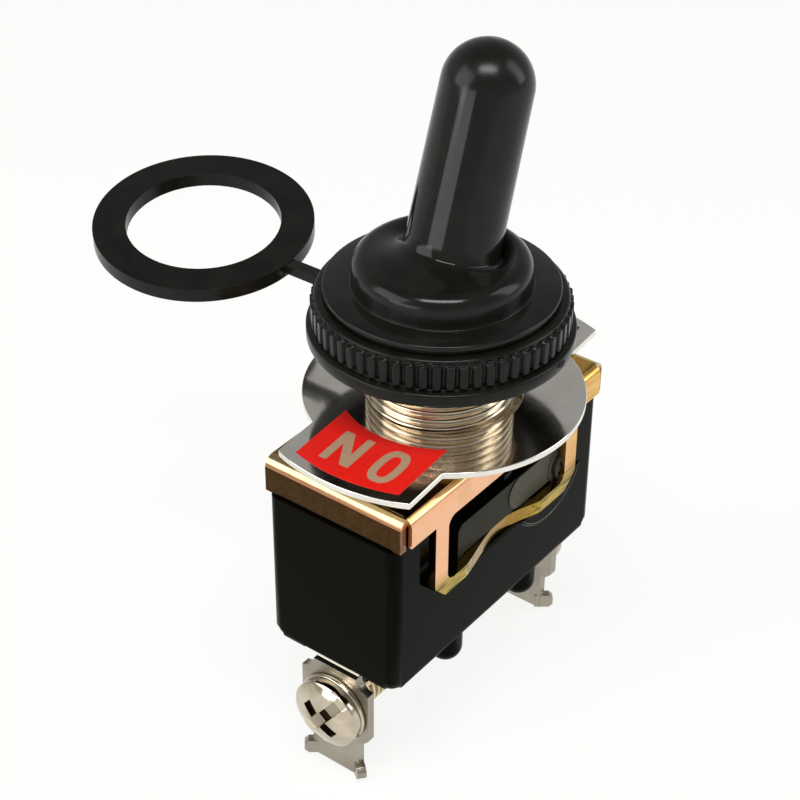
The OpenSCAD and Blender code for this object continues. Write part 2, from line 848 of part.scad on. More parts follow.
module washer_common() {
    color(nickel) on_panel() translate([-pad_x - washer_t - seat, 0, screw_z]) washer();
}

module washer_switched() {
    color(nickel) on_panel() mirror([1, 0]) translate([-pad_x - washer_t - seat, 0, screw_z]) washer();
}

// ---- label plate, collar and boot ----

module label_plate() {
    color([0.75, 0.74, 0.72]) on_panel() translate([plate_x, plate_y, plate_z]) rotate(plate_turn)
        linear_extrude(height = plate_t) difference() {
            union() {
                circle(d = plate_d, $fn = 128);
                intersection() {
                    circle(d = tab_d, $fn = 128);
                    square([tab_d, tab_w], center = true);
                }
            }
            circle(r = thread_r + plate_slide + seat);
        }
}

// knurl outline: straight ridges with sloping sides
module knurl() {
    crest = knurl_d / 2;
    root = crest - knurl_depth;
    step = 360 / knurl_n;
    polygon([for (i = [0:knurl_n - 1], k = [[-0.28, crest], [0.12, crest], [0.34, root], [0.6, root]])
        [k[1] * cos((i + k[0]) * step), k[1] * sin((i + k[0]) * step)]]);
}

module seal_ring() {
    rotate([0, 0, strip_turn]) {
        translate([flange_d / 2 + strip_l, 0, ring_top]) rotate([-ring_twist, -ring_rise, 0])
            translate([ring_d / 2, 0, -ring_t]) difference() {
                cylinder(d = ring_d, h = ring_t, $fn = 96);
                translate([0, 0, -cut]) cylinder(d = ring_hole, h = ring_t + 2 * cut, $fn = 96);
            }
        difference() {
            translate([knurl_d / 2 - 1, -strip_w / 2, ring_top - strip_t - 0.1])
                cube([strip_l + 2, strip_w, strip_t]);
            translate([flange_d / 2 + 1, 0, ring_top - 0.1]) rotate([0, 45, 0])
                cube([0.5, strip_w + cut, 0.5], center = true);
        }
    }
}

module collar() {
    color(black) on_panel() {
        difference() {
            union() {
                translate([0, 0, collar_z]) cylinder(d = flange_d, h = flange_t, $fn = 96);
                translate([0, 0, collar_z + flange_t - 0.1])
                    linear_extrude(height = collar_h - flange_t + 0.1) knurl();
            }
            translate([0, 0, collar_z - cut]) cylinder(r = thread_r + 0.3, h = collar_h + 2 * cut);
            translate([0, 0, nut_z - seat]) cylinder(d = nut_d + 2 * seat, h = nut_h + 2 * seat, $fn = 6);
        }
        seal_ring();
    }
}

module nut_insert() {
    color(brass) on_panel() translate([0, 0, nut_z]) difference() {
        cylinder(d = nut_d, h = nut_h, $fn = 6);
        translate([0, 0, -cut]) cylinder(r = thread_r + slip, h = nut_h + 2 * cut);
    }
}

module boot_outside() {
    translate([0, 0, disc_z]) cylinder(d = disc_d, h = disc_t, $fn = 96);
    translate([0, 0, disc_z]) cylinder(r1 = dome_r, r2 = dome_r - 0.2, h = roll_z - disc_z);
    rotate_extrude($fn = 96) translate([dome_r - 0.2 - roll_r, roll_z]) circle(roll_r);
    translate([0, 0, disc_z]) cylinder(r = dome_r - roll_r, h = web_z - disc_z);
    leaned() {
        cylinder(r1 = sleeve_r, r2 = tip_r, h = handle_l - handle_d / 2);
        translate([0, 0, handle_l - handle_d / 2]) sphere(tip_r);
    }
}

module boot_inside() {
    hollow = handle_d / 2 + 0.28;
    leaned() {
        cylinder(r = hollow, h = handle_l - handle_d / 2);
        translate([0, 0, handle_l - handle_d / 2]) sphere(hollow);
    }
    cylinder(r = thread_r + 0.25, h = roof_z);
}

module boot() {
    color(black) on_panel() difference() {
        boot_outside();
        boot_inside();
        cylinder(r = disc_d, h = disc_z);
    }
}

housing();
insulator();
frame();
bushing();
lever_pin();
lever();
plunger();
plunger_spring();
rocker();
rocker_contact();
rocker_pin();
saddle();
saddle_rivet();
terminal_common();
terminal_switched();
fixed_contact();
screw_common();
screw_switched();
washer_common();
washer_switched();
label_plate();
collar();
nut_insert();
boot();
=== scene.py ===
# %% [markdown]
# # A panel toggle switch
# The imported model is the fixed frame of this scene. Blender counts in metres, and the sizes below are
# written in millimetres and multiplied by MM, so that they read as they would on a drawing. The origin lies
# on the bushing's axis, on the label plate's upper face, where the panel seats. X runs along the housing
# and Z up the bushing.

# %% Load the frame
import bmesh
import bpy
import math
import random
from mathutils import Matrix, Vector


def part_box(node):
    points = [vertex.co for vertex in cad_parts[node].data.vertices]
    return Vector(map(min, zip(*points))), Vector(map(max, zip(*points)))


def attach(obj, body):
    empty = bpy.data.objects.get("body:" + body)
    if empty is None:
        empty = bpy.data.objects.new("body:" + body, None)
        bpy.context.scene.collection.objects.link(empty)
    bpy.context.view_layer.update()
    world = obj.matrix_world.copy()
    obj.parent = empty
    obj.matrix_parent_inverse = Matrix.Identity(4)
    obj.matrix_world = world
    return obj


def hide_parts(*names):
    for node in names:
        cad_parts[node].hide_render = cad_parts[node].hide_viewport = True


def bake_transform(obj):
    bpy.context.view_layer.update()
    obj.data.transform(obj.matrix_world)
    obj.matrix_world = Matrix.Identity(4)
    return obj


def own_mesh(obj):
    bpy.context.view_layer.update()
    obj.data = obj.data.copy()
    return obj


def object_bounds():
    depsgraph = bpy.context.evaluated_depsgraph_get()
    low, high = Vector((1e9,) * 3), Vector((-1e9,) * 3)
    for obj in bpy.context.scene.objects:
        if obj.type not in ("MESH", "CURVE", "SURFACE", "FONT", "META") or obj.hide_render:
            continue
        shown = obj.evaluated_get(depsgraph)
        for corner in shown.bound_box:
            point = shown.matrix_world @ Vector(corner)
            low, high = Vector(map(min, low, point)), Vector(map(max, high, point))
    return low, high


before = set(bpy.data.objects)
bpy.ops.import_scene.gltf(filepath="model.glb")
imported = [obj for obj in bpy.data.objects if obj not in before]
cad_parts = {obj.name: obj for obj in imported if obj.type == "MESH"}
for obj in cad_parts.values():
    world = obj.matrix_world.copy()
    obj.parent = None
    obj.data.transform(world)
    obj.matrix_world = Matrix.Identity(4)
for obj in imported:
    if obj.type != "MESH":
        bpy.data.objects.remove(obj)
cad_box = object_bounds()
MM = 0.001
X, Y, Z = Vector((1, 0, 0)), Vector((0, 1, 0)), Vector((0, 0, 1))


def corners(node):
    """Lowest and highest corner of a solid's box, in mm."""
    return [[round(value / MM, 4) for value in corner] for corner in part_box(node)]


FRAME_FOOT = corners("frame")[0][2]
FRAME_END, FRAME_SIDE, FRAME_TOP = corners("frame")[1]
print("the steel frame's top face lies at", FRAME_TOP, "mm")

# %% [markdown]
# ## Camera
# A long lens from the left front, looking down at 35 degrees, shows the end with the ON field, the folded
# side of the frame and the top of the ring nut together. The lamps are placed by the same two angles, so
# one helper turns them into a direction.

# %% Camera
def toward(azimuth, elevation):
    """The direction in which a place at these angles, in degrees, lies from the part."""
    a, e = math.radians(azimuth), math.radians(elevation)
    return Vector((math.sin(a) * math.cos(e), -math.cos(a) * math.cos(e), math.sin(e)))


def look(position, azimuth, elevation, roll, lens):
    """Stands the camera at a place in mm, with its back toward the given angles."""
    back, right = toward(azimuth, elevation), toward(azimuth + 90, 0)
    turn = Matrix((right, back.cross(right), back)).transposed() @ Matrix.Rotation(math.radians(roll), 3, "Z")
    camera = bpy.data.objects.new("camera", bpy.data.cameras.new("camera"))
    camera.matrix_world = Matrix.Translation(Vector(position) * MM) @ turn.to_4x4()
    camera.data.lens = lens
    camera.data.clip_start = 10 * MM
    bpy.context.scene.collection.objects.link(camera)
    bpy.context.scene.camera = camera
    return camera


camera = look(position=(-107.84, -77.59, 92.46), azimuth=-52.887, elevation=35.201, roll=0.42, lens=90.62)
print("lens", round(camera.data.lens, 2), "mm")

# %% [markdown]
# ## Shader maths in Python
# A material is a small graph of nodes. Wrapping a socket in a class with operators lets an expression such
# as `1 - mask * 0.5` build its own Math nodes, so that a material reads like a formula. One method makes
# any other node, in a material and in the world alike.

# %% A wrapped socket
class Wave:
    """A number, colour or shader that comes out of a node."""

    def __init__(self, graph, socket):
        self.graph, self.socket = graph, socket

    def math(self, operation, *others):
        return self.graph.node("Math", {"operation": operation}, dict(enumerate((self, *others))))

    def __add__(self, other): return self.math("ADD", other)
    def __sub__(self, other): return self.math("SUBTRACT", other)
    def __mul__(self, other): return self.math("MULTIPLY", other)
    def __rsub__(self, other): return self * -1 + other
    def __abs__(self): return self.math("ABSOLUTE")
    __radd__, __rmul__ = __add__, __mul__

    def between(self, low, high):
        """0 below low, 1 above high, and a straight ramp from one to the other."""
        values = {"Value": self, "From Min": low, "From Max": high}
        return self.graph.node("MapRange", {"clamp": True}, values)


class Graph:
    """A tree of shader nodes."""

    def __init__(self, tree):
        self.nodes, self.links = tree.nodes, tree.links

    def plug(self, socket, value):
        """Links a wave, or sets a plain number, vector or colour."""
        if isinstance(value, Wave):
            self.links.new(value.socket, socket)
        elif hasattr(socket.default_value, "__len__") and len(socket.default_value) == 4:
            socket.default_value = (*value, 1)
        else:
            socket.default_value = value

    def node(self, kind, settings, values, out=0):
        made = self.nodes.new("ShaderNode" + kind)
        for key, value in settings.items():
            setattr(made, key, value)
        for key, value in values.items():
            self.plug(made.inputs[key], value)
        return Wave(self, made.outputs[out])

    def blend(self, share, first, second):
        """The first colour where share is 0 and the second where it is 1."""
        return self.node("Mix", {"data_type": "RGBA"}, {0: share, 6: first, 7: second}, 2)


print("wrapped sockets ready")

# %% A finish
class Finish(Graph):
    """One material, whose Principled shader takes its values from expressions."""

    def __init__(self, name, **fixed):
        self.material = bpy.data.materials.new(name)
        self.material.use_nodes = True
        super().__init__(self.material.node_tree)
        self.shader = self.nodes["Principled BSDF"]
        self.set(**fixed)

    def set(self, **values):
        for key, value in values.items():
            self.plug(self.shader.inputs[key.replace("_", " ")], value)

    def place(self):
        return self.node("TexCoord", {}, {}, "Object")

    def along_axes(self):
        """The place on X, Y and Z, in mm."""
        split = self.node("SeparateXYZ", {}, {"Vector": self.place()}).socket.node
        return [Wave(self, socket) * (1 / MM) for socket in split.outputs]

    def noise(self, size, detail=3, stretch=(1, 1, 1)):
        """Noise whose features are about `size` mm across."""
        spread = self.node("Mapping", {}, {"Vector": self.place(), "Scale": stretch})
        values = {"Vector": spread, "Scale": 1 / (size * MM), "Detail": detail}
        return self.node("TexNoise", {}, values, "Fac")

    def bump(self, height, depth, strength):
        """`height` from 0 to 1 becomes a relief of `depth` mm."""
        values = {"Height": height, "Distance": depth * MM, "Strength": strength}
        self.set(Normal=self.node("Bump", {}, values))


print("finishes ready")

# %% [markdown]
# ## Rubber and mouldings
# The boot is silicone rubber: nearly black, smooth, with crisp reflections, and duller on its disc and dome
# and at the tip, where it is handled. The ring nut is a glass-filled moulding, a little rougher. The
# housing is a hard thermoset. All three are so dark that gloss alone shows their shape, so their specular
# level is kept low and their roughness carries the detail.

# %% Rubber, ring nut and housing
DUST = (0.16, 0.15, 0.13)


def dark_moulding(name, colour, gloss, roughness, grain, depth, dust):
    """`grain` and `depth` are the size and height of its specks in mm; `dust` is how much lies in patches."""
    finish = Finish(name, Specular_IOR_Level=gloss)
    patches = finish.noise(2.5, detail=4)
    specks = finish.noise(grain, detail=2)
    finish.set(Base_Color=finish.blend(patches.between(0.35, 0.8) * dust, colour, DUST))
    finish.set(Roughness=patches.between(0.2, 0.9) * 0.08 + specks * 0.05 + (roughness - 0.06))
    finish.bump(specks * 0.7 + patches * 0.3, depth, strength=0.6)
    return finish


soft_rubber = dark_moulding("boot_rubber", (0.005, 0.005, 0.004), 0.22, 0.11, 0.25, 0.003, 0.03)
DOME, SLEEVE, TIP_LOW, TIP_HIGH = 11.8, 13.4, 25.5, 27.0      # heights, in mm
height = soft_rubber.along_axes()[2]
handled = (1 - height.between(DOME, SLEEVE)) * 0.10 + height.between(TIP_LOW, TIP_HIGH) * 0.16
soft_rubber.set(Roughness=handled + soft_rubber.noise(0.25, detail=2) * 0.05 + 0.075)
rubber = soft_rubber.material
nut_plastic = dark_moulding("collar_plastic", (0.004, 0.004, 0.003), 0.16, 0.24, 0.22, 0.03, 0.03).material
print("rubber and ring nut ready")

# %% [markdown]
# ## The housing's pockets
# Each side of the housing has a pocket with a pressed pad in it, and a rib on the pad. Its tool left them
# duller than the sides, so they look grey. The mask finds them by place: inside the pocket's window, and at
# the pad's or the rib's distance from the middle, just below the housing's sides.

# %% The pockets' tone
HOUSING_BLACK, PAD_GREY = (0.002, 0.002, 0.001), (0.085, 0.082, 0.062)
POCKET_END, POCKET_LOW, POCKET_HIGH = 10.8, -12.6, -7.4
PAD_FACE, RIB_FACE, SIDE_FACE = 6.02, 6.16, 6.32


def pocket_tone(finish, colour):
    x, y, z = finish.along_axes()
    x, y = abs(x), abs(y)
    window = (1 - x.between(POCKET_END, POCKET_END + 0.1)) * z.between(POCKET_LOW, POCKET_LOW + 0.2)
    window *= 1 - z.between(POCKET_HIGH, POCKET_HIGH + 0.2)
    pad = y.between(PAD_FACE, PAD_FACE + 0.04) * (1 - y.between(SIDE_FACE, SIDE_FACE + 0.04)) * window
    rib = y.between(RIB_FACE, RIB_FACE + 0.02) * pad
    finish.set(Base_Color=finish.blend(pad * 0.35 + rib * 0.65, colour, PAD_GREY))


thermoset = dark_moulding("moulding", HOUSING_BLACK, 0.025, 0.16, 0.3, 0.004, 0.012)
pocket_tone(thermoset, HOUSING_BLACK)
phenolic = thermoset.material
print("housing ready")

# %% [markdown]
# ## Plated metals
# Plating is thin, so it keeps the sheet's rolling marks and picks up stains. Nickel is warmer than chrome,
# and the label's sheet is almost a mirror, with fine lines along its length. A screw's recess sees little
# light, so the screws' nickel is painted darker below the face of the head, as painted shade.

# %% Nickel, steel, brass and silver
(screw_inner, _, screw_low), (screw_outer, _, screw_high) = corners("screw_switched")
SCREW_Z = (screw_low + screw_high) / 2
RECESS_FLOOR, RECESS_FADE = screw_outer - 0.95, 0.25
RECESS_REACH = (4.4, 5.2)      # squares of the distances from the axis where the recess ends, in square mm
# the colour of the painted shade in a screw's recess
RECESS_SHADE = (0.20, 0.165, 0.11)


def plated(name, colour, stain, roughness, grain, stretch=(1, 1, 1), scratches=0.004, shade_recess=False):
    """Metal with clouds of stain; `grain` is the spacing of its lines and `scratches` their depth, in mm."""
    finish = Finish(name, Metallic=1.0)
    cloud = finish.noise(3.0, detail=4)
    lines = finish.noise(grain, stretch=stretch)
    tint = finish.blend(cloud.between(0.35, 0.75), colour, stain)
    # painted shade: the nickel is darkened in the screw's recess, below the face of the head
    if shade_recess:
        x, y, z = finish.along_axes()
        below = 1 - abs(x).between(RECESS_FLOOR, RECESS_FLOOR + RECESS_FADE)
        near = 1 - (y * y + (z - SCREW_Z) * (z - SCREW_Z)).between(*RECESS_REACH)
        tint = finish.blend(below * near, tint, RECESS_SHADE)
    finish.set(Base_Color=tint)
    finish.set(Roughness=cloud.between(0.3, 0.8) * 0.06 + lines * 0.06 + (roughness - 0.05))
    finish.bump(lines, scratches, strength=0.5)
    return finish.material


head_steel = plated("head_steel", (0.66, 0.58, 0.46), (0.30, 0.25, 0.18), 0.12, 0.15, shade_recess=True)
bright_nickel = plated("nickel", (0.74, 0.64, 0.50), (0.50, 0.40, 0.29), 0.14, 0.3)
sheet_nickel = plated("label", (0.86, 0.83, 0.76), (0.76, 0.73, 0.66), 0.09, 0.2, (1, 0.1, 1), 0.002)
dull_nickel = plated("contact_nickel", (0.38, 0.35, 0.29), (0.28, 0.25, 0.20), 0.33, 0.12, (1, 1, 0.15))
screw_steel = plated("steel", (0.70, 0.63, 0.52), (0.34, 0.29, 0.22), 0.14, 0.15)
warm_brass = plated("brass", (0.80, 0.62, 0.34), (0.60, 0.42, 0.22), 0.25, 0.2)
contact_silver = plated("silver", (0.90, 0.89, 0.86), (0.75, 0.73, 0.70), 0.22, 0.2)
print("plated metals ready, screws at", round(SCREW_Z, 2), "mm")

# %% [markdown]
# ## Yellow chromate
# The frame is zinc plated and dipped in chromate, whose thin film has interference colours. It drains and
# dries unevenly: straw on top, rose on the sides and gold towards one end, olive on the crimped belts, and
# cream and copper round the bend of each end. The end lips are painted dark, as painted shade for the dark
# reflection they show. So the tint follows the place on the frame, and noise breaks up the borders.

# %% Chromate film
def chromate(name):
    finish = Finish(name, Metallic=1.0)
    x, y, z = finish.along_axes()
    drift = finish.noise(4.0) - 0.5
    cloud = finish.noise(0.9, detail=4)
    rolled = finish.noise(0.22, stretch=(0.12, 1, 1))

    side = (abs(y) + drift * 0.5).between(FRAME_SIDE - 0.53, FRAME_SIDE - 0.03)
    end = abs(x).between(FRAME_END - 1.03, FRAME_END - 0.83)
    rise = z + drift * 0.12 - FRAME_TOP
    copper = end * (1 - rise.between(-0.62, -0.42))
    lip = end * (1 - rise.between(-0.97, -0.87))
    seam = end * (1 - rise.between(-0.88, -0.82)) * rise.between(-1.02, -0.96)
    belt = 1 - (z + drift * 1.5).between(FRAME_FOOT + 1.28, FRAME_FOOT + 2.88)

    fine = rolled + drift * 0.5
    cream = finish.blend(cloud.between(0.3, 0.7), (0.56, 0.42, 0.20), (0.66, 0.50, 0.28))
    straw = finish.blend(cloud.between(0.3, 0.7), (0.26, 0.155, 0.025), (0.38, 0.23, 0.05))
    rose = finish.blend((cloud * 0.5 + rolled * 0.5).between(0.35, 0.7),
                        (0.92, 0.46, 0.26), (0.88, 0.54, 0.32))
    olive = finish.blend(fine.between(0.35, 0.65), (0.12, 0.09, 0.012), (0.50, 0.35, 0.06))
    gold = finish.blend(fine.between(0.35, 0.65), (0.70, 0.38, 0.10), (0.82, 0.52, 0.16))
    # painted shade: the end lips are darkened to stand for the dark reflection they show
    lip_shade_brown = finish.blend((rolled * 0.6 + cloud * 0.4).between(0.35, 0.7),
                         (0.038, 0.017, 0.003), (0.075, 0.038, 0.008))

    flank = finish.blend(belt, finish.blend((x + drift * 4).between(5, 10), rose, gold), olive)
    ends = finish.blend(lip, finish.blend(copper, cream, (0.42, 0.22, 0.11)), lip_shade_brown)
    ends = finish.blend(seam, ends, (0.06, 0.012, 0.004))
    tint = finish.blend(side, finish.blend(end, straw, ends), flank)
    finish.set(Base_Color=tint, Roughness=rolled * 0.10 + cloud * 0.08 + 0.08)
    finish.bump(rolled, 0.003, strength=0.5)
    return finish.material


yellow_zinc = chromate("yellow_zinc")
print("chromate ready")

# %% [markdown]
# ## Enamel, nylon and fibre
# The label's fields are stoved enamel, flat and even, and the letters are left open so that the sheet's own
# warm grey shows. The plunger is milky nylon and the insulator is pressed fibre.

# %% Enamel, nylon and fibre
def soft_coat(name, light, dark, roughness, grain, depth):
    """An even coat between two close colours; `grain` and `depth` are the size of its mottling, in mm."""
    finish = Finish(name, Specular_IOR_Level=0.2)
    mottle = finish.noise(grain, detail=4)
    finish.set(Base_Color=finish.blend(mottle.between(0.3, 0.8), light, dark))
    finish.set(Roughness=mottle * 0.12 + roughness)
    finish.bump(mottle, depth, strength=0.4)
    return finish.material


red_enamel = soft_coat("red_enamel", (0.66, 0.011, 0.006), (0.58, 0.009, 0.005), 0.32, 0.6, 0.004)
black_enamel = soft_coat("black_enamel", (0.012, 0.012, 0.012), (0.02, 0.02, 0.02), 0.3, 0.6, 0.004)
letter_grey = soft_coat("letter_grey", (0.37, 0.23, 0.14), (0.32, 0.20, 0.12), 0.45, 0.3, 0.004)
nylon = soft_coat("plastic", (0.78, 0.76, 0.66), (0.70, 0.68, 0.58), 0.35, 0.8, 0.003)
fibre = soft_coat("fibre", (0.42, 0.34, 0.24), (0.30, 0.23, 0.15), 0.75, 0.15, 0.02)
print("coats ready")

# %% [markdown]
# ## Edges
# Nothing stamped or moulded has a knife edge. A copy of each rigid solid gets its flat faces merged, a
# small bevel and weighted normals, and stands for the solid. The bevel's width is that of the real edge:
# about a tenth of a millimetre on sheet metal, and a little more on a moulding.

# %% Adding a piece
def cover(mesh, finish):
    mesh.materials.clear()
    mesh.materials.append(finish)


def round_shaded(mesh):
    mesh.polygons.foreach_set("use_smooth", [True] * len(mesh.polygons))


def add(name, mesh, finish):
    """Puts a mesh in the scene, in its finish."""
    cover(mesh, finish)
    piece = bpy.data.objects.new(name, mesh)
    bpy.context.scene.collection.objects.link(piece)
    return piece


print("pieces can be added")

# %% A bevelled copy of a solid
FLAT = math.radians(0.4)       # edges flatter than this are merged away
SHARP = math.radians(30)       # edges sharper than this are bevelled


def cut(work, place, along, **options):
    """Cuts the faces that cross a plane."""
    bmesh.ops.bisect_plane(work, geom=[*work.verts, *work.edges, *work.faces], plane_co=place, plane_no=along,
                           **options)


def softened(node, finish, width, body="base", beyond=None):
    """`beyond` keeps only what lies further along Y than that many millimetres."""
    work = bmesh.new()
    work.from_mesh(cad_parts[node].data)
    if beyond is not None:
        cut(work, Y * (beyond * MM), Y, clear_inner=True)
    bmesh.ops.remove_doubles(work, verts=work.verts, dist=0.001 * MM)
    bmesh.ops.dissolve_limit(work, angle_limit=FLAT, verts=work.verts, edges=work.edges)
    mesh = bpy.data.meshes.new(node + "_edged")
    work.to_mesh(mesh)
    work.free()
    round_shaded(mesh)
    piece = add(node + "_edged", mesh, finish)
    bevel = piece.modifiers.new("edge", "BEVEL")
    bevel.width, bevel.segments = width * MM, 2
    bevel.limit_method, bevel.angle_limit = "ANGLE", SHARP
    bevel.miter_outer = "MITER_ARC"
    piece.modifiers.new("weigh", "WEIGHTED_NORMAL").keep_sharp = True
    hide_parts(node)
    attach(piece, body)
    return piece


for node, finish, width, body in [
        ("housing", phenolic, 0.15, "base"), ("frame", yellow_zinc, 0.10, "base"),
        ("terminal_common", dull_nickel, 0.10, "base"), ("terminal_switched", dull_nickel, 0.10, "base"),
        ("label_plate", sheet_nickel, 0.08, "base"),
        ("washer_common", screw_steel, 0.12, "washer_common_body"),
        ("washer_switched", screw_steel, 0.12, "washer_switched_body"),
        ("screw_common", head_steel, 0.08, "screw_common_body"),
        ("screw_switched", head_steel, 0.08, "screw_switched_body")]:
    piece = softened(node, finish, width, body)
    print(piece.name, len(piece.data.polygons), "faces before the bevel")

# %% [markdown]
# ## The housing's corners
# The mould's lower corners are cut with a ball cutter, so three rounded edges meet in a piece of a sphere.
# The copy is cut where each ball begins and made finer there, and the vertices past the ball are drawn back
# to it.

# %% Ball corners
BODY_SIDE = 6.4        # the housing's side faces, in mm from the middle
PIP_LENGTH = 2.4       # how far the four pips reach below its underside
BALL = 1.25            # radius of the lower corners


def round_corners(piece, half, radius):
    """`half` is how far the block reaches from the origin along X and Y and down Z, in mm."""
    centre = [reach - radius for reach in half]
    work = bmesh.new()
    work.from_mesh(piece.data)
    for axis, at in ((X, -centre[0]), (X, centre[0]), (Y, -centre[1]), (Y, centre[1]), (Z, -centre[2])):
        cut(work, axis * (at * MM), axis)

    def past_centre(vertex):
        x, y, z = vertex.co / MM
        return Vector([reach - start for reach, start in zip((abs(x), abs(y), -z), centre)])

    near = [edge for edge in work.edges if all(min(past_centre(vertex)) > -0.001 for vertex in edge.verts)]
    bmesh.ops.subdivide_edges(work, edges=near, cuts=3, use_grid_fill=True)
    for vertex in work.verts:
        over = past_centre(vertex)
        if min(over) > 0 and over.length > radius:
            x, y, z = [start + o * (radius / over.length) for start, o in zip(centre, over)]
            vertex.co = Vector((math.copysign(x, vertex.co.x), math.copysign(y, vertex.co.y), -z)) * MM
    work.to_mesh(piece.data)
    work.free()


housing_low, housing_high = corners("housing")
housing = bpy.data.objects["housing_edged"]
round_corners(housing, (housing_high[0], BODY_SIDE, -housing_low[2] - PIP_LENGTH), BALL)
print("housing with ball corners:", len(housing.data.polygons), "faces")

# %% Finishes of the inner pieces
for node, finish in [
        ("insulator", fibre), ("lever", bright_nickel), ("lever_pin", screw_steel), ("plunger", nylon),
        ("rocker", warm_brass), ("rocker_pin", screw_steel), ("rocker_contact", contact_silver),
        ("saddle", warm_brass), ("saddle_rivet", warm_brass), ("fixed_contact", contact_silver),
        ("nut_insert", warm_brass)]:
    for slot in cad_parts[node].material_slots:
        slot.material = finish
print("inner pieces dressed")

# %% [markdown]
# ## Rings into a skin
# The bushing, the boot, the ring nut and the screw threads are all made of rings of points joined into a
# closed skin. A ring has a centre, two directions across its axis, and a radius that may change round it,
# which is all a thread needs.

# %% A skin over rings
def skin(name, rings, finish, body=None, closed_tube=False):
    """A closed tube joins its last ring to its first; other skins end in flat faces."""
    count = len(rings[0])
    last = len(rings) if closed_tube else len(rings) - 1
    faces = []
    for i in range(last):
        a, b = i * count, (i + 1) % len(rings) * count
        faces += [(a + j, a + (j + 1) % count, b + (j + 1) % count, b + j) for j in range(count)]
    if not closed_tube:
        faces += [tuple(range(count - 1, -1, -1)), tuple(last * count + j for j in range(count))]
    mesh = bpy.data.meshes.new(name)
    mesh.from_pydata([point * MM for line in rings for point in line], [], faces)
    round_shaded(mesh)
    work = bmesh.new()
    work.from_mesh(mesh)
    bmesh.ops.recalc_face_normals(work, faces=work.faces)
    work.to_mesh(mesh)
    work.free()
    piece = add(name, mesh, finish)
    if body:
        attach(piece, body)
    return piece


def ring(centre, across, along, radius, count):
    """Points round a centre; the radius is a number, or a function of the angle in turns."""
    size = radius if callable(radius) else lambda turn: radius
    return [centre + (across * math.cos(math.tau * j / count) + along * math.sin(math.tau * j / count))
            * size(j / count) for j in range(count)]


def turned(outline, count, low=0):
    """Rings round the Z axis from pairs of radius and height; `low` is added to each height."""
    return [ring(Z * (low + z), X, Y, radius, count) for radius, z in outline]


print("rings ready")

# %% [markdown]
# ## Bushing
# The bushing is turned from bar, then threaded and nickel plated. The plating rounds the thread's crests.
# The radius of each ring follows a helix, so the thread climbs as a real one does, and runs out at both
# ends.

# %% Threaded bushing
def groove(turn, depth, crest=0.42):
    """Depth of a rolled thread at a place in turns; `crest` is the share of the pitch left at full size."""
    phase = abs((turn % 1) * 2 - 1)
    return depth * max(0, (phase - crest) / (1 - crest)) ** 0.8


def bushing_rings(count=112):
    pitch, radius, depth = 0.76, 6.0, 0.38
    bore, pocket, neck, shoulder = 2.7, 5.5, 6.05, corners("bushing")[1][0]
    foot, low, high = FRAME_TOP - 0.7, FRAME_TOP + 1.3, FRAME_TOP + 12.6
    chamfer = high - 0.5
    rings = turned([(neck, foot), (neck, FRAME_TOP), (shoulder - 0.2, FRAME_TOP + 0.03),
                    (shoulder, FRAME_TOP + 0.2), (shoulder, low - 0.2), (shoulder - 0.2, low),
                    (radius, low + 0.01)], count)
    z = low + 0.1
    while z < chamfer:
        fade = min(1, max(0, (z - low - 0.2) / 0.8), (chamfer - z) / 0.6)
        rings.append(ring(Z * z, X, Y, lambda turn, z=z, fade=fade:
                          radius - fade * groove(z / pitch - turn, depth), count))
        z += pitch / 10
    return rings + turned([(radius, chamfer), (radius - 0.45, high), (bore, high), (bore, FRAME_TOP + 8.0),
                           (pocket, foot)], count)


bushing = skin("threaded_bushing", bushing_rings(), bright_nickel, "base", closed_tube=True)
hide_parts("bushing")
print("bushing faces", len(bushing.data.polygons))

# %% [markdown]
# ## Boot
# The boot is moulded in one shot: a flat disc, a rolled dome and a sleeve that hugs the bat lever. Its
# rings start flat round the bushing and lean over with the lever as they climb.

# %% The boot's outline
LEAN = math.radians(18.5)
PIVOT = Vector((0, 0, FRAME_TOP + 10.8))
LEVER = Vector((math.sin(LEAN), 0, math.cos(LEAN)))
LEVER_X = Vector((math.cos(LEAN), 0, -math.sin(LEAN)))


def boot_outline(steps=8):
    """(radius, height above the frame, share of the lever's lean), from the disc to the sleeve's groove."""
    disc = [(6.3, 11.24), (9.05, 11.24), (9.28, 11.28), (9.35, 11.4), (9.35, 11.84), (9.31, 11.94),
            (9.2, 11.98)]
    wall = [(7.3, 11.98), (7.16, 11.99), (7.14, 12.05), (7.12, 12.4), (7.08, 13.2)]
    roll_at, roll_z, roll = 5.8, 13.3, 1.28
    dome = [(roll_at + roll * math.cos(a), roll_z + roll * math.sin(a))
            for a in (math.radians(90 * step / steps) for step in range(1, steps + 1))]
    sinking = [(5.4, 14.57, 0.1), (5.05, 14.53, 0.25), (4.75, 14.45, 0.4), (4.5, 14.34, 0.55),
               (4.3, 14.24, 0.7), (4.12, 14.19, 0.85), (3.98, 14.22, 0.95)]
    return [(radius, z, 0) for radius, z in disc + wall + dome] + sinking


print("boot leans", round(math.degrees(LEAN), 1), "degrees")

